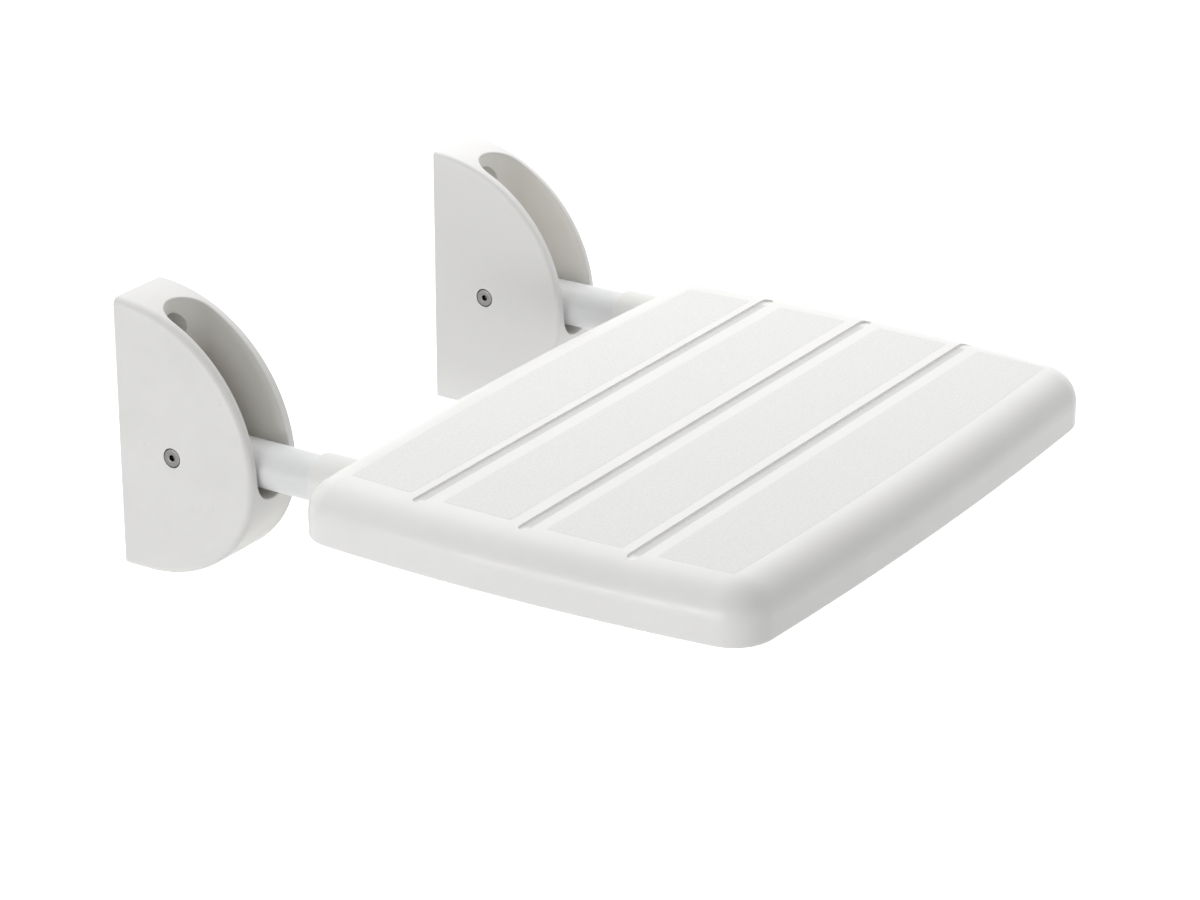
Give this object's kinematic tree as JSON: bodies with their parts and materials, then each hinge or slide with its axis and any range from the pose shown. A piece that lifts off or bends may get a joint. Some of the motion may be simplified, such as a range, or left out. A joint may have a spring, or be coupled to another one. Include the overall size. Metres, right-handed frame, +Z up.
{
  "type": "fold down wall seat",
  "caption": "Wall-mounted folding seat: a grooved moulded panel on two tube arms that swings down level from slotted wall brackets and folds up against the wall.",
  "frame": {"origin": "centre of the four wall-screw holes, on the wall plane", "axes": "+X along the wall to the right seen from the room, +Y into the wall, +Z up; the seat reaches towards -Y"},
  "size_m": [0.424, 0.4495, 0.17],
  "materials": {
    "moulding_white": "satin",
    "tube_white": "powder coated",
    "steel_bright": "satin",
    "steel_zinc": "satin",
    "knuckle_alloy": "powder coated",
    "acetal_natural": "satin",
    "rubber_grey": "matte",
    "plug_grey": "satin"
  },
  "bodies": {
    "brackets": {"left_bracket_body": "moulding_white", "left_wall_pad": "rubber_grey", "left_screw_washers": "steel_zinc", "left_pivot_barrel": "steel_bright", "left_pivot_screw": "steel_bright", "left_stop_pad": "rubber_grey", "right_bracket_body": "moulding_white", "right_wall_pad": "rubber_grey", "right_screw_washers": "steel_zinc", "right_pivot_barrel": "steel_bright", "right_pivot_screw": "steel_bright", "right_stop_pad": "rubber_grey"},
    "seat": {"seat_panel": "moulding_white", "left_outer_bush": "acetal_natural", "left_inner_bush": "acetal_natural", "left_arm_knuckle": "knuckle_alloy", "left_knuckle_pin": "steel_zinc", "left_arm_tube": "tube_white", "left_arm_collar": "moulding_white", "left_tube_plug": "plug_grey", "left_rear_clamp": "steel_zinc", "left_front_clamp": "steel_zinc", "left_clamp_screws": "steel_zinc", "right_outer_bush": "acetal_natural", "right_inner_bush": "acetal_natural", "right_arm_knuckle": "knuckle_alloy", "right_knuckle_pin": "steel_zinc", "right_arm_tube": "tube_white", "right_arm_collar": "moulding_white", "right_tube_plug": "plug_grey", "right_rear_clamp": "steel_zinc", "right_front_clamp": "steel_zinc", "right_clamp_screws": "steel_zinc"}
  },
  "joints": [
    {"name": "seat_hinge", "type": "hinge", "parent": "brackets", "child": "seat", "pos_m": [0, -0.0388, -0.051], "axis": [-1, 0, 0], "range_deg": [0, 90]}
  ]
}
